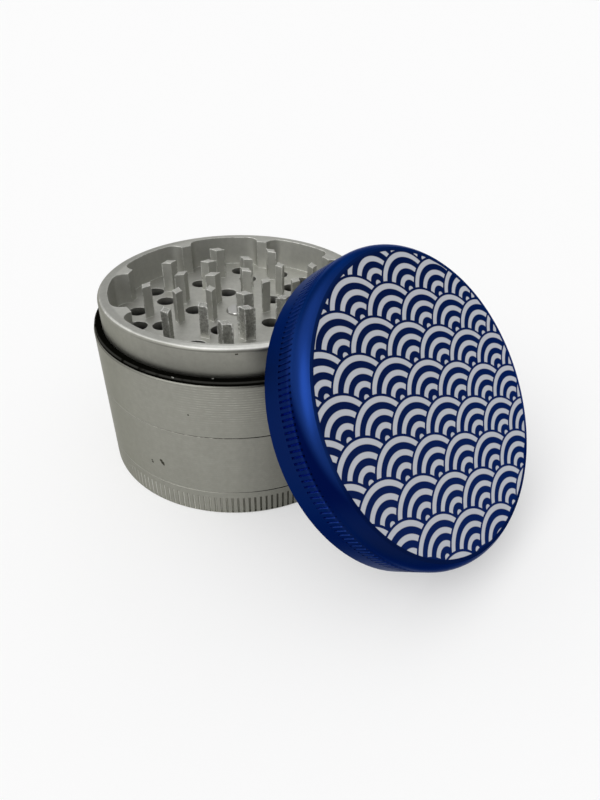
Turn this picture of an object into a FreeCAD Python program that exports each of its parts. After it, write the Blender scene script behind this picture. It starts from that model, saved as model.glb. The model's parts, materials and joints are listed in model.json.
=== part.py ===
import FreeCAD, Part
import math
import os
from types import SimpleNamespace

import Sketcher

# Four-piece herb grinder. The screwed stack stands on the floor with its axis
# on Z, and the lid leans against the stack's rim. Lengths in millimetres,
# angles in degrees.
SIZES = {
    # outer shape of the stack
    "body_radius": 31.5,
    "catcher_height": 6.2,
    "storage_height": 14.8,
    "chamber_height": 12.3,
    "collar_radius": 29.7,
    "collar_height": 6.95,
    "collar_round": 0.8,
    "edge_break": 0.3,
    "seam_break": 0.12,
    # knurled bands
    "knurl_depth": 0.32,
    "knurl_width": 0.46,
    "catcher_knurl_count": 162,
    "catcher_knurl_start": 0.35,
    "catcher_knurl_height": 4.25,
    "lid_knurl_count": 190,
    "lid_knurl_start": 3.2,
    "lid_knurl_height": 3.45,
    # screw threads
    "thread_bore_radius": 29.6,
    "thread_pitch": 1.6,
    "thread_turns": 1.25,
    "thread_depth": 0.7,
    "thread_root_width": 0.8,
    "thread_crest_width": 0.3,
    "thread_clearance": 0.3,
    "thread_sink": 0.1,
    "thread_lead": 0.7,
    "mouth_break": 0.3,
    "catcher_socket_depth": 3.8,
    "storage_socket_depth": 4.7,
    "spigot_gap": 0.6,
    # kief catcher
    "catcher_floor": 1.4,
    "catcher_bowl_radius": 27.0,
    # storage chamber, its screen and the screen's clip
    "storage_bowl_radius": 27.2,
    "storage_bowl_round": 3.0,
    "screen_lip": 1.2,
    "screen_window_radius": 24.0,
    "screen_seat_radius": 26.2,
    "screen_seat_height": 7.6,
    "screen_fit": 0.1,
    "screen_thickness": 0.3,
    "screen_gap": 2.4,
    "screen_wire": 0.6,
    "screen_margin": 2.4,
    "clip_groove_depth": 0.8,
    "clip_height": 1.0,
    "clip_fit": 0.08,
    "clip_width": 2.0,
    "clip_opening": 14,
    # grinding chamber
    "chamber_bore_radius": 26.6,
    "chamber_depth": 7.1,
    "chamber_floor": 3.6,
    "pocket_count": 6,
    "pocket_pitch": 45,
    "pocket_radius": 27.5,
    "pocket_corner": 2.8,
    "land_radius": 24.8,
    "land_waist": 2.5,
    "land_angle": -61.5,
    "tooth_height": 7.27,
    "tooth_length": 3.8,
    "tooth_width": 2.2,
    "tooth_slant": 64,
    "tooth_hollow": 4.5,
    "outer_ring_radius": 19.45,
    "outer_ring_count": 9,
    "outer_ring_angle": 22.5,
    "middle_ring_radius": 13.25,
    "middle_ring_count": 9,
    "middle_ring_angle": -2,
    "inner_ring_radius": 6.6,
    "inner_ring_count": 5,
    "inner_ring_angle": -3,
    "sieve_hole_radius": 2.1,
    "outer_sieve_radius": 22.4,
    "outer_sieve_count": 8,
    "outer_sieve_spread": 9,
    "middle_sieve_radius": 17.5,
    "middle_sieve_count": 9,
    "middle_sieve_angle": 0,
    "inner_sieve_radius": 9.75,
    "inner_sieve_count": 5,
    "inner_sieve_angle": 30.5,
    # magnets
    "magnet_radius": 2.45,
    "magnet_height": 2.0,
    "magnet_break": 0.25,
    "magnet_proud": 0.45,
    "magnet_fit": 0.05,
    "magnet_gap": 0.4,
    # friction ring
    "ring_thickness": 0.8,
    "ring_inset": 0.22,
    "ring_break": 0.2,
    "ring_fit": 0.08,
    # lid
    "lid_height": 11.02,
    "lid_shoulder_inset": 1.48,
    "lid_shoulder_drop": 3.1,
    "lid_rim_break": 0.5,
    "lid_collar_clearance": 0.3,
    "lid_ceiling_gap": 0.6,
    "lid_tooth_gap": 0.95,
    "lid_boss_radius": 3.6,
    "lid_boss_break": 0.4,
    "lid_ring_angle": 180,
    "lid_ring_step": 2.55,
    # the lid's place beside the stack
    "lean_elevation": 38.34,
    "lean_azimuth": -46.59,
    "lean_offset": 1.91,
    "lean_gap": 0.05,
}


class Size:
    """A number together with the sheet formula that gives it."""

    def __init__(self, value, formula):
        self.value = value
        self.formula = formula

    def __add__(self, other):
        other = as_size(other)
        return Size(self.value + other.value, f"({self.formula} + {other.formula})")

    def __sub__(self, other):
        other = as_size(other)
        return Size(self.value - other.value, f"({self.formula} - {other.formula})")

    def __mul__(self, other):
        other = as_size(other)
        return Size(self.value * other.value, f"({self.formula} * {other.formula})")

    def __truediv__(self, other):
        other = as_size(other)
        return Size(self.value / other.value, f"({self.formula} / {other.formula})")

    def __neg__(self):
        return Size(0.0, "0") - self


def as_size(term):
    if isinstance(term, Size):
        return term
    return Size(float(term), str(float(term)))


def cosine(angle):
    return Size(math.cos(math.radians(angle.value)), f"cos({angle.formula} * 1 deg)")


def sine(angle):
    return Size(math.sin(math.radians(angle.value)), f"sin({angle.formula} * 1 deg)")


def polar(radius, angle):
    return radius * cosine(angle), radius * sine(angle)


def make_sheet():
    """Fills the spreadsheet and hands back its cells as sizes."""
    sheet = document.addObject("Spreadsheet::Sheet", "Sizes")
    for row, (name, value) in enumerate(SIZES.items(), start=1):
        sheet.set(f"A{row}", name)
        sheet.set(f"B{row}", str(value))
        sheet.setAlias(f"B{row}", name)
    document.recompute()
    cells = {}
    for name in SIZES:
        cells[name] = Size(float(getattr(sheet, name)), f"<<Sizes>>.{name}")
    return SimpleNamespace(**cells)


def make_body(name):
    body = document.addObject("PartDesign::Body", name)
    body.Label = name
    return body


def new_sketch(body, name, role, height=None):
    """Opens a sketch on one of the body's own planes, raised by height."""
    sketch = body.newObject("Sketcher::SketchObject", f"{body.Name}_{name}")
    plane = next(item for item in body.Origin.OriginFeatures if item.Role == role)
    sketch.AttachmentSupport = (plane, "")
    sketch.MapMode = "FlatFace"
    if height is not None:
        sketch.AttachmentOffset = FreeCAD.Placement(
            FreeCAD.Vector(0, 0, height.value), FreeCAD.Rotation()
        )
        sketch.setExpression("AttachmentOffset.Base.z", height.formula)
    return sketch


def bind(sketch, constraint, size):
    number = sketch.addConstraint(constraint)
    sketch.setExpression(f"Constraints[{number}]", size.formula)


def pin(sketch, edge, end, corner):
    """Holds one end of an edge at a corner's two sizes."""
    kinds = ("DistanceX", "DistanceY")
    axes = (-2, -1)
    for kind, axis, size in zip(kinds, axes, corner):
        size = as_size(size)
        if size.formula == "0.0":
            sketch.addConstraint(Sketcher.Constraint("PointOnObject", edge, end, axis))
        else:
            bind(sketch, Sketcher.Constraint(kind, -1, 1, edge, end, size.value), size)


def arc_between(start, end, radius, turn):
    """Arc from start to end, anticlockwise where turn is 1."""
    chord = end - start
    left = FreeCAD.Vector(-chord.y, chord.x, 0).normalize()
    reach = math.sqrt(max(radius**2 - (chord.Length / 2) ** 2, 0.0))
    centre = (start + end) / 2 + left * (reach * turn)
    first, last = (start, end) if turn > 0 else (end, start)
    angles = [math.atan2(spot.y - centre.y, spot.x - centre.x) for spot in (first, last)]
    circle = Part.Circle(centre, FreeCAD.Vector(0, 0, 1), radius)
    return Part.ArcOfCircle(circle, *angles)


def draw_outline(sketch, corners, arcs=None):
    """Closed outline through corners; arcs gives an edge's radius and turn."""
    arcs = arcs or {}
    spots = [FreeCAD.Vector(as_size(x).value, as_size(y).value, 0) for x, y in corners]
    ends = []
    for number, start in enumerate(spots):
        end = spots[(number + 1) % len(spots)]
        if number in arcs:
            radius, turn = arcs[number]
            edge = sketch.addGeometry(arc_between(start, end, radius.value, turn))
            ends.append((edge, 1, 2) if turn > 0 else (edge, 2, 1))
        else:
            edge = sketch.addGeometry(Part.LineSegment(start, end))
            ends.append((edge, 1, 2))
    for number, (edge, first, last) in enumerate(ends):
        after, after_first, _ = ends[(number + 1) % len(ends)]
        sketch.addConstraint(Sketcher.Constraint("Coincident", edge, last, after, after_first))
        pin(sketch, edge, first, corners[number])
    for number, (radius, _) in arcs.items():
        bind(sketch, Sketcher.Constraint("Radius", ends[number][0], radius.value), radius)


def draw_circle(sketch, centre, radius):
    spot = FreeCAD.Vector(centre[0].value, centre[1].value, 0)
    circle = Part.Circle(spot, FreeCAD.Vector(0, 0, 1), radius.value)
    edge = sketch.addGeometry(circle)
    pin(sketch, edge, 3, centre)
    bind(sketch, Sketcher.Constraint("Radius", edge, radius.value), radius)


def revolve(body, corners, arcs=None):
    """Turns a half section about Z."""
    sketch = new_sketch(body, "section", "XZ_Plane")
    draw_outline(sketch, corners, arcs)
    turned = body.newObject("PartDesign::Revolution", f"{body.Name}_turned")
    turned.Profile = sketch
    turned.ReferenceAxis = (sketch, ["V_Axis"])
    turned.Angle = 360
    return turned


def extrude(body, kind, sketch, name, length, upward):
    """Pads or pockets a flat sketch up or down by length."""
    feature = body.newObject(f"PartDesign::{kind}", f"{body.Name}_{name}")
    feature.Profile = sketch
    feature.setExpression("Length", length.formula)
    feature.Reversed = upward if kind == "Pocket" else not upward
    return feature


def repeat(body, feature, sketch, name, count, pitch=None):
    """Repeats a feature about the body's axis: all the way round, or at a pitch in degrees."""
    pattern = body.newObject("PartDesign::PolarPattern", f"{body.Name}_{name}")
    pattern.Originals = [feature]
    pattern.Axis = (sketch, ["N_Axis"])
    pattern.Angle = 360
    if pitch is not None:
        sweep = pitch * (count - 1)
        pattern.setExpression("Angle", sweep.formula)
    pattern.setExpression("Occurrences", count.formula)
    body.Tip = pattern
    return pattern


def add_thread(body, name, foot_radius, crest_radius, middle_height):
    """Winds one ridge round Z, from foot_radius out or in to crest_radius."""
    half_root = size.thread_root_width / 2
    half_crest = size.thread_crest_width / 2
    sketch = new_sketch(body, f"{name}_ridge", "XZ_Plane")
    draw_outline(
        sketch,
        [
            (foot_radius, middle_height - half_root),
            (crest_radius, middle_height - half_crest),
            (crest_radius, middle_height + half_crest),
            (foot_radius, middle_height + half_root),
        ],
    )
    helix = body.newObject("PartDesign::AdditiveHelix", f"{body.Name}_{name}")
    helix.Profile = sketch
    helix.ReferenceAxis = (sketch, ["V_Axis"])
    helix.Mode = "pitch-turns-angle"
    helix.setExpression("Pitch", size.thread_pitch.formula)
    helix.setExpression("Turns", size.thread_turns.formula)
    return helix


def add_knurl(body, bottom, height, count):
    """Cuts upright V grooves all round a band of the body's wall."""
    sketch = new_sketch(body, "groove", "XY_Plane", bottom)
    half_width = size.knurl_width
    outside = size.body_radius + size.knurl_depth
    draw_outline(
        sketch,
        [
            (size.body_radius - size.knurl_depth, as_size(0)),
            (outside, half_width),
            (outside, -half_width),
        ],
    )
    groove = extrude(body, "Pocket", sketch, "groove_cut", height, upward=True)
    repeat(body, groove, sketch, "knurl", count)


def add_teeth(body, name, floor, length, radius, angle, slant, count, upward):
    """Raises a ring of rhombic posts with hollow sides."""
    sketch = new_sketch(body, f"{name}_tooth", "XY_Plane", floor)
    middle_x, middle_y = polar(radius, angle)
    corners = []
    for quarter in range(4):
        reach = size.tooth_width if quarter % 2 else size.tooth_length
        step_x, step_y = polar(reach / 2, angle + slant + 90 * quarter)
        corners.append((middle_x + step_x, middle_y + step_y))
    hollow = {edge: (size.tooth_hollow, -1) for edge in range(4)}
    draw_outline(sketch, corners, hollow)
    post = extrude(body, "Pad", sketch, f"{name}_post", length, upward)
    repeat(body, post, sketch, f"{name}_teeth", count)


def add_holes(body, name, floor, depth, radius, angle, count):
    """Drills a ring of sieve holes down through the floor."""
    sketch = new_sketch(body, f"{name}_hole", "XY_Plane", floor)
    draw_circle(sketch, polar(radius, angle), size.sieve_hole_radius)
    hole = extrude(body, "Pocket", sketch, f"{name}_drill", depth, upward=False)
    repeat(body, hole, sketch, f"{name}_sieve", count)


def make_kief_catcher():
    body = make_body("kief_catcher")
    bore = size.thread_bore_radius
    socket = seam_low - size.catcher_socket_depth
    dish = socket - size.catcher_floor
    revolve(
        body,
        [
            (0, 0),
            (size.body_radius - size.edge_break, 0),
            (size.body_radius, size.edge_break),
            (size.body_radius, seam_low - size.seam_break),
            (size.body_radius - size.seam_break, seam_low),
            (bore + size.mouth_break, seam_low),
            (bore, seam_low - size.mouth_break),
            (bore, socket),
            (size.catcher_bowl_radius, socket),
            (size.catcher_bowl_radius - dish, size.catcher_floor),
            (0, size.catcher_floor),
        ],
        {8: (dish, -1)},
    )
    male_middle = seam_low - size.catcher_socket_depth + size.spigot_gap + size.thread_lead
    add_thread(
        body,
        "socket_thread",
        bore + size.thread_sink,
        bore - size.thread_depth,
        male_middle - size.thread_pitch / 2,
    )
    add_knurl(body, size.catcher_knurl_start, size.catcher_knurl_height, size.catcher_knurl_count)
    return body


def make_storage_chamber():
    body = make_body("storage_chamber")
    bore = size.thread_bore_radius
    spigot_end = seam_low - size.catcher_socket_depth + size.spigot_gap
    socket = seam_high - size.storage_socket_depth
    seat = size.screen_seat_height
    bowl = seat + size.screen_lip
    groove_top = seat - size.screen_thickness
    groove_bottom = groove_top - size.clip_height - size.clip_fit
    groove_radius = size.screen_seat_radius + size.clip_groove_depth
    revolve(
        body,
        [
            (size.screen_seat_radius, spigot_end),
            (spigot_radius - size.mouth_break, spigot_end),
            (spigot_radius, spigot_end + size.mouth_break),
            (spigot_radius, seam_low),
            (size.body_radius - size.seam_break, seam_low),
            (size.body_radius, seam_low + size.seam_break),
            (size.body_radius, seam_high - size.seam_break),
            (size.body_radius - size.seam_break, seam_high),
            (bore + size.mouth_break, seam_high),
            (bore, seam_high - size.mouth_break),
            (bore, socket),
            (size.storage_bowl_radius, socket),
            (size.storage_bowl_radius, bowl + size.storage_bowl_round),
            (size.storage_bowl_radius - size.storage_bowl_round, bowl),
            (size.screen_window_radius, bowl),
            (size.screen_window_radius, seat),
            (size.screen_seat_radius, seat),
            (size.screen_seat_radius, groove_top),
            (groove_radius, groove_top),
            (groove_radius, groove_bottom),
            (size.screen_seat_radius, groove_bottom),
        ],
        {12: (size.storage_bowl_round, -1)},
    )
    add_thread(
        body,
        "spigot_thread",
        spigot_radius - size.thread_sink,
        spigot_radius + size.thread_depth,
        spigot_end + size.thread_lead,
    )
    male_middle = socket + size.spigot_gap + size.thread_lead
    add_thread(
        body,
        "socket_thread",
        bore + size.thread_sink,
        bore - size.thread_depth,
        male_middle - size.thread_pitch / 2,
    )
    return body


def make_mesh_screen():
    """Disc with square gaps, cut in one piece to stand for the woven wire."""
    radius = (size.screen_seat_radius - size.screen_fit).value
    gap = size.screen_gap.value
    pitch = gap + size.screen_wire.value
    clear = radius - size.screen_margin.value
    steps = range(-int(radius / pitch) - 1, int(radius / pitch) + 2)
    wires = [Part.Wire(Part.makeCircle(radius))]
    for column in steps:
        for row in steps:
            corners = []
            for side_x, side_y in ((-1, -1), (1, -1), (1, 1), (-1, 1)):
                spot_x = column * pitch + side_x * gap / 2
                spot_y = row * pitch + side_y * gap / 2
                corners.append(FreeCAD.Vector(spot_x, spot_y, 0))
            if max(corner.Length for corner in corners) < clear:
                wires.append(Part.makePolygon(corners + corners[:1]))
    face = Part.makeFace(wires, "Part::FaceMakerBullseye")
    screen = document.addObject("Part::Feature", "mesh_screen")
    screen.Shape = face.extrude(FreeCAD.Vector(0, 0, size.screen_thickness.value))
    seat = size.screen_seat_height - size.screen_thickness
    screen.Placement = FreeCAD.Placement(FreeCAD.Vector(0, 0, seat.value), FreeCAD.Rotation())
    screen.Label = "mesh_screen"
    return screen


def make_screen_clip():
    body = make_body("screen_clip")
    top = size.screen_seat_height - size.screen_thickness
    outer = size.screen_seat_radius + size.clip_groove_depth - size.clip_fit
    inner = outer - size.clip_width
    bottom = top - size.clip_height
    ring = revolve(body, [(inner, bottom), (outer, bottom), (outer, top), (inner, top)])
    ring.setExpression("Angle", f"360 - {size.clip_opening.formula}")
    return body


def make_grinding_chamber():
    body = make_body("grinding_chamber")
    spigot_end = seam_high - size.storage_socket_depth + size.spigot_gap
    recess_radius = size.magnet_radius + size.magnet_fit
    recess = floor_top + size.magnet_proud - size.magnet_height
    floor_bottom = floor_top - size.chamber_floor
    revolve(
        body,
        [
            (size.chamber_bore_radius, spigot_end),
            (spigot_radius - size.mouth_break, spigot_end),
            (spigot_radius, spigot_end + size.mouth_break),
            (spigot_radius, seam_high),
            (size.body_radius - size.seam_break, seam_high),
            (size.body_radius, seam_high + size.seam_break),
            (size.body_radius, shoulder - size.edge_break),
            (size.body_radius - size.edge_break, shoulder),
            (size.collar_radius, shoulder),
            (size.collar_radius, rim - size.collar_round),
            (size.collar_radius - size.collar_round, rim),
            (size.land_radius, rim),
            (size.land_radius, floor_top),
            (recess_radius, floor_top),
            (recess_radius, recess),
            (0, recess),
            (0, floor_bottom),
            (size.chamber_bore_radius, floor_bottom),
        ],
        {9: (size.collar_round, 1)},
    )
    add_pockets(body)
    drill = size.chamber_floor
    pocket_middle = size.land_angle + size.pocket_pitch / 2
    for name, angle in (
        ("outer_left", pocket_middle + size.outer_sieve_spread),
        ("outer_right", pocket_middle - size.outer_sieve_spread),
    ):
        add_holes(body, name, floor_top, drill, size.outer_sieve_radius,
                  angle, size.outer_sieve_count)
    add_holes(body, "middle", floor_top, drill, size.middle_sieve_radius,
              size.middle_sieve_angle, size.middle_sieve_count)
    add_holes(body, "inner", floor_top, drill, size.inner_sieve_radius,
              size.inner_sieve_angle, size.inner_sieve_count)
    for name, radius, angle, count in (
        ("outer", size.outer_ring_radius, size.outer_ring_angle, size.outer_ring_count),
        ("middle", size.middle_ring_radius, size.middle_ring_angle, size.middle_ring_count),
        ("inner", size.inner_ring_radius, size.inner_ring_angle, size.inner_ring_count),
    ):
        add_teeth(body, name, floor_top, size.tooth_height, radius, angle,
                  size.tooth_slant, count, upward=True)
    add_thread(
        body,
        "spigot_thread",
        spigot_radius - size.thread_sink,
        spigot_radius + size.thread_depth,
        spigot_end + size.thread_lead,
    )
    return body


def add_pocket(body, name, land, span):
    """Mills a curved slot into the collar's inner wall, between the land at an angle and the next."""
    sketch = new_sketch(body, f"{name}_path", "XY_Plane", rim)
    corner = size.pocket_corner
    far = size.pocket_radius
    path = far - corner
    near = path - corner
    half_span = span / 2 - (size.land_waist / 2 + corner) / path * (180 / math.pi)
    middle = land + span / 2
    first = middle - half_span
    last = middle + half_span
    first_x, first_y = polar(path, first)
    last_x, last_y = polar(path, last)
    draw_outline(
        sketch,
        [
            polar(far, first),
            polar(far, last),
            (last_x - corner * sine(last), last_y + corner * cosine(last)),
            polar(near, last),
            polar(near, first),
            (first_x + corner * sine(first), first_y - corner * cosine(first)),
        ],
        {
            0: (far, 1),
            1: (corner, 1),
            2: (corner, 1),
            3: (near, -1),
            4: (corner, 1),
            5: (corner, 1),
        },
    )
    pocket = extrude(body, "Pocket", sketch, f"{name}_cut", size.chamber_depth, upward=False)
    return pocket, sketch


def add_pockets(body):
    """Mills even pockets round the collar, and a wide one where a land is left out."""
    pitch = size.pocket_pitch
    pocket, sketch = add_pocket(body, "pocket", size.land_angle, pitch)
    repeat(body, pocket, sketch, "pockets", size.pocket_count, pitch)
    swept = pitch * size.pocket_count
    add_pocket(body, "wide_pocket", size.land_angle + swept, as_size(360) - swept)


def make_magnet(name, bottom, label_up):
    """Small disc with one broken edge, at the top where label_up is true."""
    body = make_body(name)
    radius = size.magnet_radius
    top = bottom + size.magnet_height
    edge = size.magnet_break
    if label_up:
        corners = [(0, bottom), (radius, bottom), (radius, top - edge), (radius - edge, top), (0, top)]
    else:
        corners = [(0, bottom), (radius - edge, bottom), (radius, bottom + edge), (radius, top), (0, top)]
    revolve(body, corners)
    return body


def make_friction_ring():
    body = make_body("friction_ring")
    inner = size.collar_radius + size.ring_fit
    outer = size.body_radius - size.ring_inset
    revolve(
        body,
        [
            (inner, shoulder),
            (outer, shoulder),
            (outer, ring_top - size.ring_break),
            (outer - size.ring_break, ring_top),
            (inner, ring_top),
        ],
    )
    return body


def make_lid():
    """Lid in its own frame: rim on the plane of X and Y, face upward."""
    body = make_body("lid")
    skirt = size.collar_radius + size.lid_collar_clearance
    top = size.lid_height
    recess_radius = size.magnet_radius + size.magnet_fit
    recess = lid_boss_tip + size.magnet_height + size.magnet_fit
    inset = size.lid_shoulder_inset
    drop = size.lid_shoulder_drop
    shoulder_round = (inset * inset + drop * drop) / (inset * 2)
    revolve(
        body,
        [
            (0, top),
            (0, recess),
            (recess_radius, recess),
            (recess_radius, lid_boss_tip),
            (size.lid_boss_radius - size.lid_boss_break, lid_boss_tip),
            (size.lid_boss_radius, lid_boss_tip + size.lid_boss_break),
            (size.lid_boss_radius, lid_ceiling),
            (skirt, lid_ceiling),
            (skirt, size.mouth_break),
            (skirt + size.mouth_break, 0),
            (size.body_radius - size.lid_rim_break, 0),
            (size.body_radius, size.lid_rim_break),
            (size.body_radius, top - drop),
            (size.body_radius - inset, top),
        ],
        {12: (shoulder_round, 1)},
    )
    outer = size.outer_ring_radius + size.lid_ring_step
    middle = (size.outer_ring_radius + size.middle_ring_radius) / 2
    inner = (size.middle_ring_radius + size.inner_ring_radius) / 2
    length = lid_ceiling - lid_tooth_tip
    slant = -size.tooth_slant
    for name, radius, count in (
        ("outer", outer, size.outer_ring_count),
        ("middle", middle, size.middle_ring_count),
        ("inner", inner, size.inner_ring_count),
    ):
        add_teeth(body, name, lid_ceiling, length, radius, size.lid_ring_angle,
                  slant, count, upward=False)
    knurl_bottom = top - size.lid_knurl_start - size.lid_knurl_height
    add_knurl(body, knurl_bottom, size.lid_knurl_height, size.lid_knurl_count)
    return body


def lid_place():
    """Stands the lid on its rim's edge, tipped back so that its mouth just takes in the stack's rim."""
    elevation = math.radians(size.lean_elevation.value)
    azimuth = math.radians(size.lean_azimuth.value)
    height = (size.body_radius.value * math.cos(elevation)
              - size.lid_rim_break.value * math.sin(elevation))
    round_radius = size.collar_round.value
    round_reach = (size.collar_radius.value - round_radius) * math.cos(elevation)
    round_rise = (rim.value - round_radius) * math.sin(elevation)
    touch = round_reach + round_rise + round_radius
    plane = touch + size.lean_gap.value + max(-lid_tooth_tip.value, 0.0)
    outward = (plane - height * math.sin(elevation)) / math.cos(elevation)
    sideways = size.lean_offset.value
    spot = FreeCAD.Vector(
        outward * math.cos(azimuth) - sideways * math.sin(azimuth),
        outward * math.sin(azimuth) + sideways * math.cos(azimuth),
        height,
    )
    aim = FreeCAD.Rotation(FreeCAD.Vector(0, 0, 1), size.lean_azimuth.value)
    tip = FreeCAD.Rotation(FreeCAD.Vector(0, 1, 0), 90 - size.lean_elevation.value)
    return FreeCAD.Placement(spot, aim.multiply(tip))


def write_steps(pieces):
    document.recompute()
    os.makedirs("parts", exist_ok=True)
    for item in document.Objects:
        if "Invalid" in item.State or "Error" in item.State:
            raise RuntimeError(f"{item.Label} did not compute: {item.State}")
    for piece in pieces:
        if piece.Shape.isNull() or not piece.Shape.isValid():
            raise RuntimeError(f"{piece.Label} has no valid shape")
    for piece in pieces:
        piece.Shape.exportStep(f"parts/{piece.Label}.step")


document = FreeCAD.newDocument("herb_grinder")
size = make_sheet()

# Heights up the stack, and the lid's own heights above its rim, set so that
# the closed lid rests on the friction ring with its teeth clear of the floor.
seam_low = size.catcher_height
seam_high = seam_low + size.storage_height
shoulder = seam_high + size.chamber_height
rim = shoulder + size.collar_height
floor_top = rim - size.chamber_depth
ring_top = shoulder + size.ring_thickness
spigot_radius = size.thread_bore_radius - size.thread_clearance - size.thread_depth
lid_ceiling = floor_top + size.tooth_height + size.lid_ceiling_gap - ring_top
lid_tooth_tip = floor_top + size.lid_tooth_gap - ring_top
lid_boss_tip = floor_top + size.magnet_proud + size.magnet_gap - ring_top

kief_catcher = make_kief_catcher()
storage_chamber = make_storage_chamber()
mesh_screen = make_mesh_screen()
screen_clip = make_screen_clip()
grinding_chamber = make_grinding_chamber()
magnet_seat = floor_top + size.magnet_proud - size.magnet_height
chamber_magnet = make_magnet("chamber_magnet", magnet_seat, label_up=True)
friction_ring = make_friction_ring()
lid = make_lid()
lid_magnet = make_magnet("lid_magnet", lid_boss_tip, label_up=False)
lid.Placement = lid_place()
lid_magnet.Placement = lid_place()

write_steps(
    [
        kief_catcher,
        storage_chamber,
        mesh_screen,
        screen_clip,
        grinding_chamber,
        chamber_magnet,
        friction_ring,
        lid,
        lid_magnet,
    ]
)
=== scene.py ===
import json
import math

import bpy
from mathutils import Matrix, Vector


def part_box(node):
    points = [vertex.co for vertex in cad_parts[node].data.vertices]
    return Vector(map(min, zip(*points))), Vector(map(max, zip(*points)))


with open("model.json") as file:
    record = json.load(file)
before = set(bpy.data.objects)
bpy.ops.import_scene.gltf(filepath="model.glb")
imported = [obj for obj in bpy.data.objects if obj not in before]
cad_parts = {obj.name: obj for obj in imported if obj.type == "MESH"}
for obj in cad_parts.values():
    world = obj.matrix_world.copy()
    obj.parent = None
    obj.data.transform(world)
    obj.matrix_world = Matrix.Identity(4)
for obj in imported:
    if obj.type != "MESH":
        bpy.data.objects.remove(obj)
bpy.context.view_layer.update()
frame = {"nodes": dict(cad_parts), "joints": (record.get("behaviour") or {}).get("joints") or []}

NODES = frame["nodes"]
JOINTS = {joint["name"]: joint for joint in frame["joints"]}
MM = 0.001

# The camera, as the photograph was taken: its place, and how it is turned
# from looking level along +Y.
IMAGE_HEIGHT = 800
FOCAL_PIXELS = 588.826
SENSOR = 36.0
CAMERA_PLACE = Vector((0.0, -122.252, 94.959)) * MM
CAMERA_NEAR = 0.005
CAMERA_YAW = 0.12097
CAMERA_PITCH = 0.62010
CAMERA_ROLL = 0.02067

# The stack, in millimetres: two radii, and heights above the floor.
BODY_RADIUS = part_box("storage_chamber")[1].x / MM
COLLAR_RADIUS = 29.7
KNURL_TOP = 4.6
SEAM_LOW = 6.2
SEAM_HIGH = 21.0
CHAMBER_FLOOR = 33.15
WALL_TOP = 33.3
RING_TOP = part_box("friction_ring")[1].z / MM
RIM_TOP = 40.25

# Dents on the wall and the collar, and dust on the ring: degrees round the
# stack, radius, height and size. A spot is at its full strength over the
# share SPOT_CORE of its size.
DENTS = (
    (-123.8, BODY_RADIUS, 11.95, 0.50),
    (-123.2, BODY_RADIUS, 11.45, 0.55),
    (-122.8, BODY_RADIUS, 11.05, 0.34),
    (-128.4, BODY_RADIUS, 10.5, 0.34),
    (-128.6, BODY_RADIUS, 11.0, 0.26),
    (-109.4, BODY_RADIUS, 26.15, 0.24),
    (-91.3, COLLAR_RADIUS, 39.3, 0.22),
    (-90.8, COLLAR_RADIUS, 39.32, 0.22),
)
DUST = (
    (-113.8, 31.09, RING_TOP, 0.2),
    (-114.3, 31.0, RING_TOP, 0.16),
    (-100.0, 29.85, RING_TOP, 0.26),
)
SPOT_CORE = 0.5

# Where the stack's finish changes, in millimetres. Each pair is a fade for
# Value.rise: 0 at its first end, 1 at its second. Three numbers are a band
# for Value.within: both ends and their softness.
OUTSIDE_RADIUS = (COLLAR_RADIUS - 0.45, COLLAR_RADIUS - 0.25)
COLLAR_FOOT = (RING_TOP - 0.5, RING_TOP)
WALL_RADIUS = (BODY_RADIUS - 0.06, BODY_RADIUS - 0.02)
# Painted shade on the wall's top edge, which takes its highlight away.
WALL_EDGE_RADIUS = (BODY_RADIUS - 0.5, BODY_RADIUS - 0.4)
WALL_EDGE_HEIGHT = (WALL_TOP - 0.45, WALL_TOP - 0.3)
RIM_RADIUS = (27.2, 27.5)
RIM_HEIGHT = (RIM_TOP - 0.4, RIM_TOP - 0.1)
TEETH_RADIUS = (24.6, 24.0)
TEETH_HEIGHT = (CHAMBER_FLOOR + 0.4, CHAMBER_FLOOR + 0.9)
FRONT_TEETH_Y = (-3.0, -11.0)
BELOW_FLOOR = (CHAMBER_FLOOR - 0.3, CHAMBER_FLOOR - 2.0)
KNURL_RADIUS = (BODY_RADIUS - 0.1, BODY_RADIUS - 0.2)
KNURL_HEIGHT = (KNURL_TOP + 0.1, KNURL_TOP)
# Painted light in the knurl's grooves fades out towards the right.
KNURL_LIGHT_X = (6.0, -12.0)
TURNED_X = (-15.0, -4.0)
TURNED_Y = (0.0, -5.0)
TURNED_Z = (23.0, 28.0)
# A painted highlight along the front of the rim's flat top.
RIM_HIGHLIGHT_X = (-14.0, -5.0)
RIM_HIGHLIGHT_Y = (-24.0, -26.0)
RIM_HIGHLIGHT_Z = (39.8, 40.0)
RIM_HIGHLIGHT_RADIUS = (28.1, 29.45, 0.15)
SEAM_HALF = (0.14, 0.07)
SEAM_HIGH_X = (-26.0, -6.0)
SEAM_LOW_X = (-2.0, 8.0)
# Painted shade on the chamfers beside the seams, which takes their highlight away.
CHAMFER_HALF = (0.5, 0.4)
CHAMFER_RADIUS = (BODY_RADIUS - 0.01, BODY_RADIUS - 0.05)
CHAMFER_DARK_X = (-26.0, -18.0)
# Painted shade at the wall's front right, and on the collar under its rim and on its fillet.
WALL_SHADE_X = (-8.0, 14.0)
WALL_SHADE_Y = (-2.0, -18.0)
COLLAR_SHADE_X = (-26.0, -12.0)
COLLAR_LEFT_X = (7.0, 0.0)
COLLAR_HEIGHT = (40.0, 34.4)
FILLET_HEIGHT = (39.55, 39.7)

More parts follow.
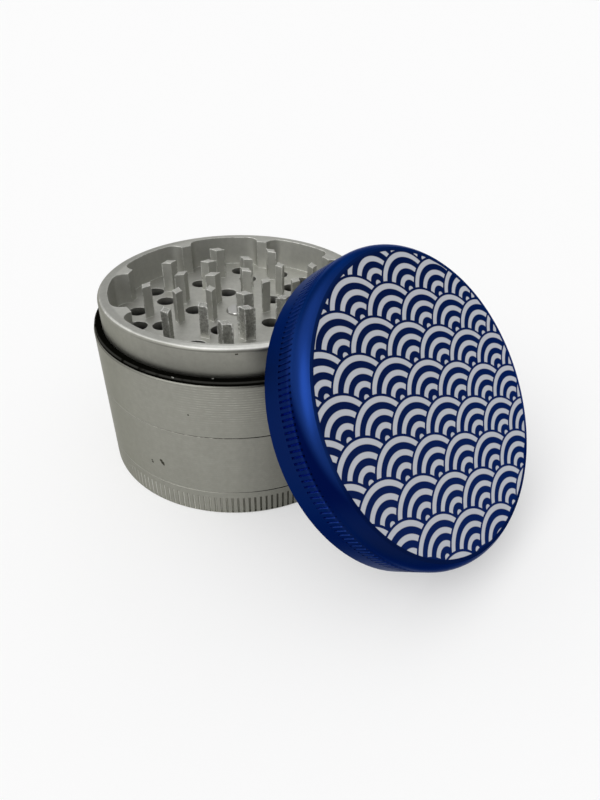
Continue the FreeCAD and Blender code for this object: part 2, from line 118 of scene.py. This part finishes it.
# Grain textures: scale for a millimetre, detail and roughness.
FINE_GRAIN = (5.0, 3.0, 0.5)
MOTTLE_GRAIN = (0.9, 4.0, 0.6)
CLOUD_GRAIN = (0.12, 2.0, 0.5)
STREAK_GRAIN = (0.45, 2.0, 0.5)
STREAK_STRETCH = (1.0, 1.0, 0.04)
SEAM_GRAIN = (0.8, 2.0, 0.5)
BURR_GRAIN = (1.5, 3.0, 0.6)
PIT_GRAIN = (2.2, 3.0, 0.7)
LID_CLOUD_GRAIN = (0.1, 2.0, 0.5)
RING_GRAIN = (3.0, 4.0, 0.5)
SCUFF_GRAIN = (0.8, 4.0, 0.7)
EDGE_HIGHLIGHT_GRAIN = (0.5, 3.0, 0.5)
PLAIN_GRAIN = (4.0, 3.0, 0.5)

# Fades over a grain or over the edges, which break a mark into patches.
SEAM_PATCHES = (0.38, 0.52)
LINE_PATCHES = (0.3, 0.75)
WEAR_GLINT_PATCHES = (0.38, 0.56)
WEAR_GLINT_EDGES = (0.03, 0.25)
BURR_PATCHES = (0.5, 0.54)
BURR_EDGES = (0.01, 0.08)
PIT_PATCHES = (0.3, 0.7)
SCUFF_PATCHES = (0.58, 0.72)
EDGE_HIGHLIGHT_PATCHES = (0.3, 0.5)

# Radii, in millimetres, over which the edges are softened or looked for.
EDGE_SAMPLES = 6
INNER_EDGE = 0.25
OUTER_EDGE = 0.08
WEAR_GLINT_EDGE = 0.4
BURR_EDGE = 0.5
LID_EDGE = 0.05
RING_EDGE = 0.12
PLAIN_EDGE = 0.1

# The turned lines: their pitch and how far they wander, in millimetres, and
# their strength away from the front of the wall.
LINE_PITCH = 0.55
LINE_WANDER = 0.3
LINE_FAINT = 0.12

# The metal's tone: its level, what the grains add to it, and what the teeth's
# pits take from it, and the painted shade at the wall's front right, on the
# collar under its rim and on its fillet, on the wall's top edge and on the
# chamfers beside the seams.
METAL_TONE = 0.748
FINE_TONE = 0.1
MOTTLE_TONE = 0.26
CLOUD_TONE = 0.12
LINE_TONE = 0.26
PIT_TONE = 0.42
PIT_LEVEL = 0.95
STREAK_LEVEL = 0.96
STREAK_TONE = 0.08
WALL_SHADE = 0.46
COLLAR_SHADE = 0.14
COLLAR_SHADE_LOW = 0.22
FILLET_SHADE = 0.32
WALL_EDGE_SHADE = 0.45
CHAMFER_SHADE = 0.4

# Shares of the colours in the metal: the bright one for worn edges with painted glints, for the
# painted highlight on the rim and for painted light in the knurl, and the dirty one.
WEAR_GLINT_SHARE = 0.8
RIM_HIGHLIGHT_SHARE = 0.72
KNURL_LIGHT_SHARE = 0.7
SEAM_SHARE = 0.8

# The metal's relief: its depth in millimetres, and each mark's part in it.
RELIEF_DEPTH = 0.012
FINE_RELIEF = 0.5
MOTTLE_RELIEF = 0.5
RAGGED_RELIEF = 3.0
LINE_RELIEF = 0.4
BURR_RELIEF = 4.0

# The metal's gloss, and how much less metallic its worn edges with their painted glints, and its
# burrs, are.
METAL_ROUGHNESS = 0.47
GRAIN_ROUGHNESS = 0.1
SMOOTH_ROUGHNESS = 0.14
WEAR_GLINT_MATT = 0.35
BURR_MATT = 0.9

# The lid's axis and the middle of its rim, from the joint that it spins on,
# its height, and the ends of its knurl below its top, in millimetres.
LID_AXIS = Vector(JOINTS["lid_spin"]["axis"]).normalized()
LID_RIM = Vector(JOINTS["lid_spin"]["pos_m"])
LID_HEIGHT = 11.02
KNURL_FROM_TOP = 7.9
KNURL_TO_TOP = 4.3

# The lid's printed scales, in millimetres, and the share of each period that
# its line takes up, with the softness of the line's edges.
PRINT_RADIUS = 29.26
SCALE_RADIUS = 8.0
SCALE_EDGE = 0.45
SCALE_SOFT = 0.05
LINE_PERIOD = 2.3
LINE_SHARE = 0.45
LINE_SOFT = 0.03

# Where the lid's finish changes, in millimetres. Depths are from its top. A
# level is how far up its leaning top a place lies, on a slant of LEVEL_TILT.
# The painted shade of dark blue on the shoulder reaches further over it the lower the level is.
LEVEL_TILT = 0.35
FACE_DEPTH = (-0.15, -0.05)
FACE_RADIUS = (PRINT_RADIUS + 0.05, PRINT_RADIUS - 0.05)
# Painted shade along the lid's low side.
LOW_LEVEL = (-12.0, -25.0)
SHADE_TILT = 0.18
SHADE_FADE = (-1.2, -3.0)
SHADE_DEPTH = (-4.1, -3.4)
# The lid's wall is darker below this depth.
SIDE_DEPTH = (-4.0, -4.6)
GROOVE_RADIUS = (BODY_RADIUS - 1.0, BODY_RADIUS - 0.06, 0.04)
GROOVE_DEPTH = (-KNURL_FROM_TOP - 0.3, -KNURL_TO_TOP + 0.3, 0.05)
GROOVE_DARK_LEVEL = (2.0, 14.0)
SHOULDER_RADIUS = (PRINT_RADIUS, PRINT_RADIUS + 0.5)
SHOULDER_DEPTH = (-4.3, -3.2)
ROUNDING_DEPTH = (-4.6, -2.6)

# The lid's tone, the painted shade along its low side, how much darker its wall
# is, how much painted light its knurl's upper part loses, its relief in
# millimetres and its gloss.
LID_TONE = 0.87
LID_FINE_TONE = 0.12
LID_CLOUD_TONE = 0.1
LOW_SHADE = 0.45
SIDE_DARKER = 0.16
GROOVE_DARK = 0.75
LID_FINE_RELIEF = 0.008
ROUNDING_RELIEF = 0.35
LID_ROUGHNESS = 0.29
PRINT_ROUGHNESS = 0.2
PRINT_MATT = 0.85

# The black ring: where a painted highlight runs along its edge, in millimetres,
# how much its scuffs show, its gloss and its relief in millimetres.
EDGE_HIGHLIGHT_RADIUS = (30.98, 31.3, 0.06)
EDGE_HIGHLIGHT_HEIGHT = (RING_TOP - 0.35, RING_TOP - 0.2)
SCUFF_SHARE = 0.2
RING_ROUGHNESS = 0.28
RING_GRAIN_ROUGHNESS = 0.16
RING_RELIEF = 0.006

# The small plain pieces: the share of their dark grain, and their gloss.
PLAIN_SHARE = 0.2
STEEL_ROUGHNESS = 0.3
NICKEL_ROUGHNESS = 0.25

# Colours, linear.
# The two aluminium greys are one metal: partly a blasted finish outside and a milled one inside,
# partly painted shade outside and painted light inside. The grey after them is painted shade below
# the chamber floor.
BLASTED_AND_SHADED = (0.292, 0.290, 0.255)
MILLED_AND_LIT = (0.545, 0.545, 0.511)
SHADED = (0.17, 0.17, 0.158)
METAL_EDGE = (0.6, 0.6, 0.56)
# The bright metal is for worn edges and burrs, and for painted glints, a painted highlight and
# painted light.
WORN_AND_LIT = (0.92, 0.92, 0.88)
DIRT = (0.045, 0.043, 0.034)
BLUE = (0.0065, 0.0180, 0.100)
# A painted highlight on the lid's shoulder.
BLUE_SHOULDER_HIGHLIGHT = (0.0070, 0.0275, 0.148)
# Painted shade on the lid's shoulder.
BLUE_SHADE = (0.0006, 0.0048, 0.054)
# Painted light in the knurl's grooves.
BLUE_GROOVE_LIGHT = (0.022, 0.070, 0.38)
BLUE_EDGE = (0.42, 0.48, 0.72)
PRINT = (0.51, 0.526, 0.568)
BLACK = (0.0025, 0.0025, 0.0018)
# The grey of the ring's scuffs and of the painted highlight on its edge.
SCUFF_AND_HIGHLIGHT_GREY = (0.026, 0.026, 0.023)
DUST_GREY = (0.30, 0.30, 0.28)
STEEL = (0.30, 0.30, 0.29)
NICKEL = (0.48, 0.48, 0.46)
PLAIN_DARK = (0.1, 0.1, 0.1)
FLOOR = (0.90, 0.90, 0.90)
WHITE = (1.0, 1.0, 1.0)

# The floor, in metres, and the share of its own light, where it is seen.
FLOOR_RADIUS = 6.0
FLOOR_CORNERS = 96
FLOOR_GLOW = 0.4

# The surround's strength: everywhere, and what is added overhead, towards the
# horizon and at the left. The fades are over the direction's height and side.
SURROUND = 0.34
OVERHEAD = 0.42
OVERHEAD_HEIGHT = (0.45, 0.80)
HORIZON = 0.5
HORIZON_HEIGHT = (0.32, 0.16)
LEFT = 0.7
LEFT_SIDE = (-0.5, -0.85)
LEFT_HEIGHT = (0.10, 0.30)

# Lamps: name, direction towards the lamp, strength and degrees across.
LAMPS = (
    ("key", (-0.55, -0.42, 0.73), 1.0, 42),
    ("key_back", (-0.45, 0.28, 0.83), 0.32, 50),
    ("key_front", (-0.30, -0.78, 0.50), 0.26, 50),
    ("back", (0.05, 1.0, 0.62), 0.05, 16),
)

# The Mix node's colour sockets, which share their names with others.
MIX_FIRST = 6
MIX_SECOND = 7
MIX_RESULT = 2


class Value:
    """An output of a shader node, which maths can be written with."""

    def __init__(self, finish, socket):
        self.finish = finish
        self.socket = socket

    def output(self, name):
        """Another output of the same node."""
        return Value(self.finish, self.socket.node.outputs[name])

    def maths(self, operation, *inputs):
        sockets = dict(enumerate(inputs))
        return self.finish.node("ShaderNodeMath", {"operation": operation}, sockets)

    def __add__(self, other):
        return self.maths("ADD", self, other)

    def __radd__(self, other):
        return self.maths("ADD", other, self)

    def __sub__(self, other):
        return self.maths("SUBTRACT", self, other)

    def __rsub__(self, other):
        return self.maths("SUBTRACT", other, self)

    def __mul__(self, other):
        return self.maths("MULTIPLY", self, other)

    def __rmul__(self, other):
        return self.maths("MULTIPLY", other, self)

    def __truediv__(self, other):
        return self.maths("DIVIDE", self, other)

    def __mod__(self, other):
        return self.maths("FLOORED_MODULO", self, other)

    def __pow__(self, other):
        return self.maths("POWER", self, other)

    def __abs__(self):
        return self.maths("ABSOLUTE", self)

    def __lt__(self, other):
        return self.maths("LESS_THAN", self, other)

    def floor(self):
        return self.maths("FLOOR", self)

    def sine(self):
        return self.maths("SINE", self)

    def most(self, other):
        return self.maths("MAXIMUM", self, other)

    def rise(self, start, end):
        """0 up to start, 1 from end on and smooth between; start may be the higher."""
        sockets = {"Value": self, "From Min": start, "From Max": end, "To Min": 0.0, "To Max": 1.0}
        if start > end:
            sockets.update({"From Min": end, "From Max": start, "To Min": 1.0, "To Max": 0.0})
        settings = {"interpolation_type": "SMOOTHSTEP"}
        return self.finish.node("ShaderNodeMapRange", settings, sockets)

    def within(self, low, high, soft):
        """1 between low and high and 0 outside, with soft ends."""
        return self.rise(low - soft, low + soft) * self.rise(high + soft, high - soft)


class Finish:
    """A material, or a world, that is put together node by node."""

    def __init__(self, name, tree=None):
        if tree is None:
            self.material = bpy.data.materials.new(name)
            self.material.use_nodes = True
            tree = self.material.node_tree
        self.tree = tree
        self.tree.nodes.clear()

    def node(self, kind, settings=None, sockets=None):
        """Adds a node, sets it, fills or links its sockets, and gives its first output."""
        made = self.tree.nodes.new(kind)
        for name, setting in (settings or {}).items():
            setattr(made, name, setting)
        for name, value in (sockets or {}).items():
            if isinstance(value, Value):
                self.tree.links.new(value.socket, made.inputs[name])
            else:
                made.inputs[name].default_value = value
        return Value(self, made.outputs[0]) if made.outputs else None

    def vector_maths(self, operation, sockets):
        return self.node("ShaderNodeVectorMath", {"operation": operation}, sockets)

    def scaled(self, vector, factor):
        """A vector or a colour multiplied by a number."""
        return self.vector_maths("SCALE", {0: vector, "Scale": factor})

    def place(self):
        """Object coordinates in millimetres."""
        return self.scaled(self.node("ShaderNodeTexCoord").output("Object"), 1 / MM)

    def parts(self, vector):
        x = self.node("ShaderNodeSeparateXYZ", None, {"Vector": vector})
        return x, x.output("Y"), x.output("Z")

    def grain(self, vector, scale, detail, roughness):
        sockets = {"Vector": vector, "Scale": scale, "Detail": detail, "Roughness": roughness}
        return self.node("ShaderNodeTexNoise", None, sockets).output("Fac")

    def mix(self, factor, first, second):
        """A colour, or a normal, between two others."""
        sockets = {"Factor": factor, MIX_FIRST: colour(first), MIX_SECOND: colour(second)}
        return self.node("ShaderNodeMix", {"data_type": "RGBA"}, sockets).output(MIX_RESULT)

    def bump(self, height, depth, normal):
        """A normal for a height, of which 1 stands for a depth in millimetres."""
        sockets = {"Height": height, "Distance": depth * MM, "Strength": 1.0, "Normal": normal}
        return self.node("ShaderNodeBump", None, sockets)

    def soft_edges(self, radius):
        """The normal, rounded within a radius of each edge."""
        return self.node("ShaderNodeBevel", {"samples": EDGE_SAMPLES}, {"Radius": radius * MM})

    def edges(self, radius):
        """0 on a flat surface, and more within a radius of each edge."""
        normal = self.node("ShaderNodeNewGeometry").output("Normal")
        along = self.vector_maths("DOT_PRODUCT", {0: self.soft_edges(radius), 1: normal})
        return 1.0 - along.output("Value")

    def spots(self, place, spots):
        """1 at small places round the stack, each given by its angle, radius, height and size."""
        found = None
        for angle, radius, height, size in spots:
            turn = math.radians(angle)
            middle = (radius * math.cos(turn), radius * math.sin(turn), height)
            away = self.vector_maths("DISTANCE", {0: place, 1: middle}).output("Value")
            spot = away.rise(size, size * SPOT_CORE)
            found = spot if found is None else found.most(spot)
        return found

    def surface(self, sockets):
        shader = self.node("ShaderNodeBsdfPrincipled", None, sockets)
        self.node("ShaderNodeOutputMaterial", None, {"Surface": shader})
        return self.material


def colour(value):
    """A colour socket's four numbers for a colour of three, or the link as it is."""
    return value if isinstance(value, Value) else (*value, 1.0)


def length(across, along):
    """How far a place is from the middle of a plane."""
    return (across * across + along * along) ** 0.5


def turned_lines(x, y, z, radius, cloud):
    """Fine lines round the wall, from -1 to 1, strong only at its front, near its top."""
    wave = ((z + LINE_WANDER * cloud) * (math.tau / LINE_PITCH)).sine()
    strong = x.rise(*TURNED_X) * y.rise(*TURNED_Y) * z.rise(*TURNED_Z)
    return wave * radius.rise(*WALL_RADIUS) * (LINE_FAINT + (1.0 - LINE_FAINT) * strong)


def seam_marks(finish, place, x, z, radius, outside):
    """The dirt in the two seams, in patches, and where shade is painted on the chamfers beside
    them.
    """
    from_high = abs(z - SEAM_HIGH)
    from_low = abs(z - SEAM_LOW)
    high = from_high.rise(*SEAM_HALF) * x.rise(*SEAM_HIGH_X)
    low = from_low.rise(*SEAM_HALF) * x.rise(*SEAM_LOW_X)
    patches = finish.grain(place, *SEAM_GRAIN).rise(*SEAM_PATCHES)
    beside = from_high.rise(*CHAMFER_HALF).most(from_low.rise(*CHAMFER_HALF))
    return high.most(low) * outside * patches, radius.rise(*CHAMFER_RADIUS) * outside * beside


def painted_shade(x, y, z, outside, collar):
    """Painted shade: how much darker the metal is painted at the wall's front right, and on the
    collar under its rim and over its fillet.
    """
    wall = WALL_SHADE * (outside - collar) * x.rise(*WALL_SHADE_X) * y.rise(*WALL_SHADE_Y)
    under_rim = (COLLAR_SHADE + COLLAR_SHADE_LOW * z.rise(*COLLAR_HEIGHT)) * x.rise(*COLLAR_LEFT_X)
    under_rim = under_rim + FILLET_SHADE * z.rise(*FILLET_HEIGHT)
    return wall + collar * x.rise(*COLLAR_SHADE_X) * under_rim


def aluminium_finish():
    """Aluminium: blasted and turned outside, milled inside, worn, dented and dirty, with painted
    light and painted shade in places.
    """
    finish = Finish("satin_aluminium")
    place = finish.place()
    x, y, z = finish.parts(place)
    radius = length(x, y)
    fine = finish.grain(place, *FINE_GRAIN)
    mottle = finish.grain(place, *MOTTLE_GRAIN)
    cloud = finish.grain(place, *CLOUD_GRAIN)
    streaked = finish.vector_maths("MULTIPLY", {0: place, 1: STREAK_STRETCH})
    streak = finish.grain(streaked, *STREAK_GRAIN)

    outside = radius.rise(*OUTSIDE_RADIUS)
    collar = outside * z.rise(*COLLAR_FOOT)
    wall_edge = radius.rise(*WALL_EDGE_RADIUS) * z.rise(*WALL_EDGE_HEIGHT)
    rim = z.rise(*RIM_HEIGHT) * radius.rise(*RIM_RADIUS)
    ragged = radius.rise(*TEETH_RADIUS) * z.rise(*TEETH_HEIGHT) * y.rise(*FRONT_TEETH_Y)
    knurl = radius.rise(*KNURL_RADIUS) * z.rise(*KNURL_HEIGHT) * outside

    lines = turned_lines(x, y, z, radius, cloud)
    dents = finish.spots(place, DENTS)
    seams, chamfer_shading = seam_marks(finish, place, x, z, radius, outside)
    # Worn edges inside, and painted glints where the teeth meet the floor.
    wear_and_glints = finish.edges(WEAR_GLINT_EDGE).rise(*WEAR_GLINT_EDGES) * (1.0 - outside)
    wear_and_glints = wear_and_glints * mottle.rise(*WEAR_GLINT_PATCHES)
    burrs = finish.edges(BURR_EDGE).rise(*BURR_EDGES) * ragged
    burrs = burrs * finish.grain(place, *BURR_GRAIN).rise(*BURR_PATCHES)
    # A painted highlight along the front of the rim's flat top.
    rim_highlight = x.rise(*RIM_HIGHLIGHT_X) * y.rise(*RIM_HIGHLIGHT_Y) * z.rise(*RIM_HIGHLIGHT_Z)
    rim_highlight = rim_highlight * radius.within(*RIM_HIGHLIGHT_RADIUS)
    bright = (wear_and_glints * WEAR_GLINT_SHARE).most(rim_highlight * RIM_HIGHLIGHT_SHARE).most(burrs)

    # Painted light and shade: lighter inside, darker outside, and painted shade below the chamber
    # floor.
    metal = finish.mix(z.rise(*BELOW_FLOOR), MILLED_AND_LIT, SHADED)
    metal = finish.mix(outside, metal, BLASTED_AND_SHADED)
    metal = finish.mix(bright, metal, WORN_AND_LIT)
    # Painted light in the knurl's grooves, towards the left.
    metal = finish.mix(knurl * x.rise(*KNURL_LIGHT_X) * KNURL_LIGHT_SHARE, metal, WORN_AND_LIT)
    metal = finish.mix(dents.most(seams * SEAM_SHARE), metal, DIRT)

    pits = finish.grain(place, *PIT_GRAIN).rise(*PIT_PATCHES)
    tone = METAL_TONE + FINE_TONE * fine + MOTTLE_TONE * mottle + CLOUD_TONE * cloud
    tone = tone + LINE_TONE * lines * mottle.rise(*LINE_PATCHES)
    tone = tone + PIT_TONE * ragged * (pits - PIT_LEVEL)
    # Painted shade at the wall's front right and on the collar.
    light = STREAK_LEVEL + STREAK_TONE * streak - painted_shade(x, y, z, outside, collar)
    # Painted shade on the wall's top edge and on the chamfers beside the seams, taking their
    # highlights away.
    light = light - WALL_EDGE_SHADE * wall_edge
    light = light - CHAMFER_SHADE * chamfer_shading * x.rise(*CHAMFER_DARK_X)

    relief = FINE_RELIEF * fine + (MOTTLE_RELIEF + RAGGED_RELIEF * ragged) * mottle
    relief = relief + LINE_RELIEF * lines - dents + BURR_RELIEF * burrs
    smooth = outside.most(rim)
    rounded = finish.mix(outside, finish.soft_edges(INNER_EDGE), finish.soft_edges(OUTER_EDGE))
    return finish.surface({
        "Base Color": finish.scaled(metal, tone * light),
        "Metallic": 1.0 - (wear_and_glints * WEAR_GLINT_MATT).most(burrs * BURR_MATT),
        "Roughness": METAL_ROUGHNESS + GRAIN_ROUGHNESS * fine - SMOOTH_ROUGHNESS * smooth,
        "Specular Tint": colour(METAL_EDGE),
        "Normal": finish.bump(relief, RELIEF_DEPTH, rounded),
    })


def lid_space(finish):
    """Millimetres in the lid's own frame: its axis is the third, and its top face is at 0."""
    level = Vector((0.0, 0.0, 1.0)).cross(LID_AXIS).normalized()
    upward = LID_AXIS.cross(level)
    turn = Matrix((level, upward, LID_AXIS)).transposed().to_euler()
    top = LID_RIM + LID_AXIS * LID_HEIGHT * MM
    metres = finish.node("ShaderNodeTexCoord").output("Object")
    sockets = {"Vector": metres, "Location": top, "Rotation": turn, "Scale": (MM, MM, MM)}
    return finish.node("ShaderNodeMapping", {"vector_type": "TEXTURE"}, sockets)


def scale_lines(across, along):
    """Rows of overlapping scales with rings: 1 on a printed line and 0 between lines."""
    row_step = SCALE_RADIUS / 2
    lowest = (along / row_step).floor()
    reach = None
    for row_offset in (1, 0, -1):
        row = lowest + row_offset
        shifted = across - (row % 2.0) * SCALE_RADIUS + SCALE_RADIUS
        side = shifted % (2 * SCALE_RADIUS) - SCALE_RADIUS
        distance = length(side, along - row * row_step)
        if reach is None:
            reach = distance
        else:
            reach = reach + (distance - reach) * (distance < SCALE_RADIUS)
    outer = SCALE_RADIUS - SCALE_EDGE
    half_line = LINE_SHARE / 2
    turns = (outer - reach) / LINE_PERIOD
    off_line = abs((turns - half_line + 0.5) % 1.0 - 0.5)
    inside = reach.rise(outer + SCALE_SOFT, outer - SCALE_SOFT)
    return off_line.rise(half_line + LINE_SOFT, half_line - LINE_SOFT) * inside


def lid_finish():
    """Blue anodised aluminium, with the pale print on its flat top, and painted light and painted
    shade on its shoulder, knurl and low side.
    """
    finish = Finish("blue_anodised")
    place = lid_space(finish)
    across, upward, depth = finish.parts(place)
    radius = length(across, upward)
    fine = finish.grain(place, *FINE_GRAIN)
    cloud = finish.grain(place, *LID_CLOUD_GRAIN)

    face = depth.rise(*FACE_DEPTH) * radius.rise(*FACE_RADIUS)
    off_face = 1.0 - face
    printed = scale_lines(across, upward) * face
    level = upward + LEVEL_TILT * across
    # Painted shade along the lid's low side and its lower shoulder.
    low = level.rise(*LOW_LEVEL)
    not_low = 1.0 - low
    # Painted shade on the shoulder's outer part, reaching further on the lower side.
    shoulder_shade = (depth + SHADE_TILT * level).rise(*SHADE_FADE) * depth.rise(*SHADE_DEPTH)
    # Painted light in the knurl's grooves, with less of it on their upper part.
    groove_light = radius.within(*GROOVE_RADIUS) * depth.within(*GROOVE_DEPTH)
    groove_light = groove_light * (1.0 - GROOVE_DARK * level.rise(*GROOVE_DARK_LEVEL))
    # A painted highlight on the lid's shoulder, away from its low side.
    shoulder = radius.rise(*SHOULDER_RADIUS) * depth.rise(*SHOULDER_DEPTH) * not_low

    blue = finish.mix(groove_light, BLUE, BLUE_GROOVE_LIGHT)
    blue = finish.mix(shoulder, blue, BLUE_SHOULDER_HIGHLIGHT)
    blue = finish.mix(shoulder_shade * not_low * off_face, blue, BLUE_SHADE)
    base = finish.mix(printed, blue, PRINT)
    tone = LID_TONE + LID_FINE_TONE * fine + LID_CLOUD_TONE * cloud
    # Painted shade along the low side, and the wall darker below the shoulder, off the top face.
    light = 1.0 - (LOW_SHADE * low + SIDE_DARKER * depth.rise(*SIDE_DEPTH)) * off_face
    relief = LID_FINE_RELIEF * fine - ROUNDING_RELIEF * depth.rise(*ROUNDING_DEPTH)
    return finish.surface({
        "Base Color": finish.scaled(base, tone * light),
        "Metallic": 1.0 - printed * PRINT_MATT,
        "Roughness": LID_ROUGHNESS + GRAIN_ROUGHNESS * fine + PRINT_ROUGHNESS * printed,
        "Specular Tint": colour(BLUE_EDGE),
        "Normal": finish.bump(relief, 1.0, finish.soft_edges(LID_EDGE)),
    })


def ring_finish():
    """Black ring: smooth, with faint scuffs, a painted highlight along its edge and a little dust.
    """
    finish = Finish("black_ring")
    place = finish.place()
    x, y, z = finish.parts(place)
    fine = finish.grain(place, *RING_GRAIN)
    scuffs = finish.grain(place, *SCUFF_GRAIN).rise(*SCUFF_PATCHES)
    # A painted highlight along the ring's outer top edge, in patches.
    edge_highlight = length(x, y).within(*EDGE_HIGHLIGHT_RADIUS) * z.rise(*EDGE_HIGHLIGHT_HEIGHT)
    edge_highlight = edge_highlight * finish.grain(place, *EDGE_HIGHLIGHT_GRAIN).rise(*EDGE_HIGHLIGHT_PATCHES)
    black = finish.mix((scuffs * SCUFF_SHARE).most(edge_highlight), BLACK, SCUFF_AND_HIGHLIGHT_GREY)
    return finish.surface({
        "Base Color": finish.mix(finish.spots(place, DUST), black, DUST_GREY),
        "Roughness": RING_ROUGHNESS + RING_GRAIN_ROUGHNESS * fine,
        "Specular IOR Level": 0.0,
        "Normal": finish.bump(fine, RING_RELIEF, finish.soft_edges(RING_EDGE)),
    })


def plain_metal_finish(name, tone, roughness):
    """A small bright piece: fine grain only."""
    finish = Finish(name)
    fine = finish.grain(finish.place(), *PLAIN_GRAIN)
    return finish.surface({
        "Base Color": finish.mix(fine * PLAIN_SHARE, tone, PLAIN_DARK),
        "Metallic": 1.0,
        "Roughness": roughness + GRAIN_ROUGHNESS * fine,
        "Normal": finish.soft_edges(PLAIN_EDGE),
    })


def dress(material, *nodes):
    for node in nodes:
        mesh = NODES[node].data
        mesh.materials.clear()
        mesh.materials.append(material)


def dress_nodes():
    dress(aluminium_finish(), "grinding_chamber", "storage_chamber", "kief_catcher")
    dress(ring_finish(), "friction_ring")
    dress(lid_finish(), "lid")
    steel = plain_metal_finish("screen_steel", STEEL, STEEL_ROUGHNESS)
    dress(steel, "mesh_screen", "screen_clip")
    nickel = plain_metal_finish("magnet_nickel", NICKEL, NICKEL_ROUGHNESS)
    dress(nickel, "chamber_magnet", "lid_magnet")


def make_floor():
    """A wide pale floor, which looks a little brighter than it lights the part."""
    bpy.ops.mesh.primitive_circle_add(
        vertices=FLOOR_CORNERS, radius=FLOOR_RADIUS, fill_type="NGON")
    floor = bpy.context.object
    floor.name = "floor"
    finish = Finish("floor")
    diffuse = finish.node("ShaderNodeBsdfDiffuse", None, {"Color": colour(FLOOR)})
    white = finish.node("ShaderNodeEmission", None, {"Color": colour(WHITE), "Strength": 1.0})
    path = finish.node("ShaderNodeLightPath")
    seen = path.most(path.output("Is Glossy Ray")).most(path.output("Is Transmission Ray"))
    sockets = {0: seen * FLOOR_GLOW, 1: diffuse, 2: white}
    shader = finish.node("ShaderNodeMixShader", None, sockets)
    finish.node("ShaderNodeOutputMaterial", None, {"Surface": shader})
    floor.data.materials.append(finish.material)


def make_world():
    """A plain grey surround, paler overhead, towards the horizon and at the left."""
    world = bpy.data.worlds.new("studio")
    world.use_nodes = True
    bpy.context.scene.world = world
    finish = Finish("studio", world.node_tree)
    direction = finish.node("ShaderNodeTexCoord").output("Generated")
    side, _, height = finish.parts(direction)
    strength = SURROUND + OVERHEAD * height.rise(*OVERHEAD_HEIGHT)
    strength = strength + HORIZON * height.rise(*HORIZON_HEIGHT)
    strength = strength + LEFT * side.rise(*LEFT_SIDE) * height.rise(*LEFT_HEIGHT)
    sockets = {"Color": colour(WHITE), "Strength": strength}
    shader = finish.node("ShaderNodeBackground", None, sockets)
    finish.node("ShaderNodeOutputWorld", None, {"Surface": shader})


def make_lamp(name, towards, strength, angle):
    """A soft lamp a long way off, so that the whole floor is lit alike."""
    data = bpy.data.lights.new(name, "SUN")
    data.energy = strength
    data.angle = math.radians(angle)
    lamp = bpy.data.objects.new(name, data)
    lamp.rotation_euler = Vector(towards).to_track_quat("Z", "Y").to_euler()
    bpy.context.scene.collection.objects.link(lamp)


def make_camera():
    data = bpy.data.cameras.new("camera")
    data.sensor_width = SENSOR
    data.lens = FOCAL_PIXELS / IMAGE_HEIGHT * SENSOR
    data.clip_start = CAMERA_NEAR
    camera = bpy.data.objects.new("camera", data)
    forward = Vector((
        math.sin(CAMERA_YAW) * math.cos(CAMERA_PITCH),
        math.cos(CAMERA_YAW) * math.cos(CAMERA_PITCH),
        -math.sin(CAMERA_PITCH),
    ))
    level = Vector((math.cos(CAMERA_YAW), -math.sin(CAMERA_YAW), 0.0))
    upright = level.cross(forward)
    right = math.cos(CAMERA_ROLL) * level + math.sin(CAMERA_ROLL) * upright
    up = right.cross(forward)
    turn = Matrix((right, up, -forward)).transposed().to_4x4()
    camera.matrix_world = Matrix.Translation(CAMERA_PLACE) @ turn
    bpy.context.scene.collection.objects.link(camera)
    bpy.context.scene.camera = camera


dress_nodes()
make_floor()
make_world()
for lamp_settings in LAMPS:
    make_lamp(*lamp_settings)
make_camera()
bpy.context.scene.view_settings.view_transform = "Standard"
